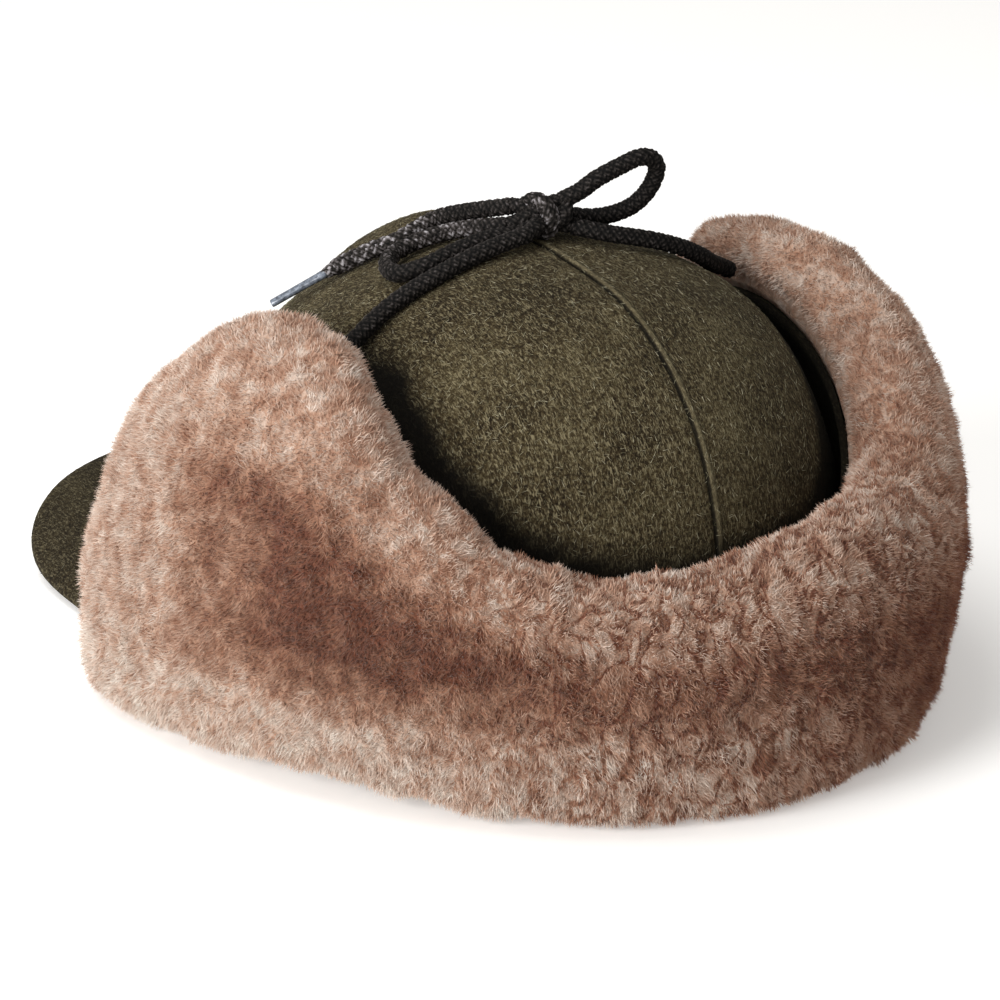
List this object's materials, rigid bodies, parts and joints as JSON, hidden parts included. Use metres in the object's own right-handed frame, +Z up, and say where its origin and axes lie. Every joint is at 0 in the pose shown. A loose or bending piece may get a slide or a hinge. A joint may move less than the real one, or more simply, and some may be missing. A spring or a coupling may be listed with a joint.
{
  "type": "earflap cap",
  "caption": "Winter cap in olive wool: domed sewn crown, arched soft peak, and a deep sheepskin neck guard with earflaps folded up and tied over the top in a cord bow.",
  "frame": {"origin": "middle of the underside of the box round the cap without its tie cords, on the surface that it rests on", "axes": "+Z up out of the crown, -Y to the front, where the peak points, +X to the wearer's left"},
  "size_m": [0.2448, 0.299, 0.1477],
  "materials": {
    "melton_wool": "matte, short felted nap",
    "sheepskin": "matte, dense sheared pile",
    "braided_cord": "round braid, slight sheen",
    "aglet_plastic": "smooth, glossy"
  },
  "bodies": {
    "root": {"crown_panel_front_left": "melton_wool", "crown_panel_front_right": "melton_wool", "crown_panel_back_left": "melton_wool", "crown_panel_back_right": "melton_wool", "peak": "melton_wool", "earflap_shell": "melton_wool", "earflap_fur": "sheepskin", "tie_cord_left": "braided_cord", "tie_cord_right": "braided_cord", "bow_loop_left": "braided_cord", "bow_loop_right": "braided_cord", "bow_end_left": "braided_cord", "bow_end_right": "braided_cord", "bow_knot": "braided_cord", "aglet_left": "aglet_plastic", "aglet_right": "aglet_plastic"}
  },
  "joints": []
}
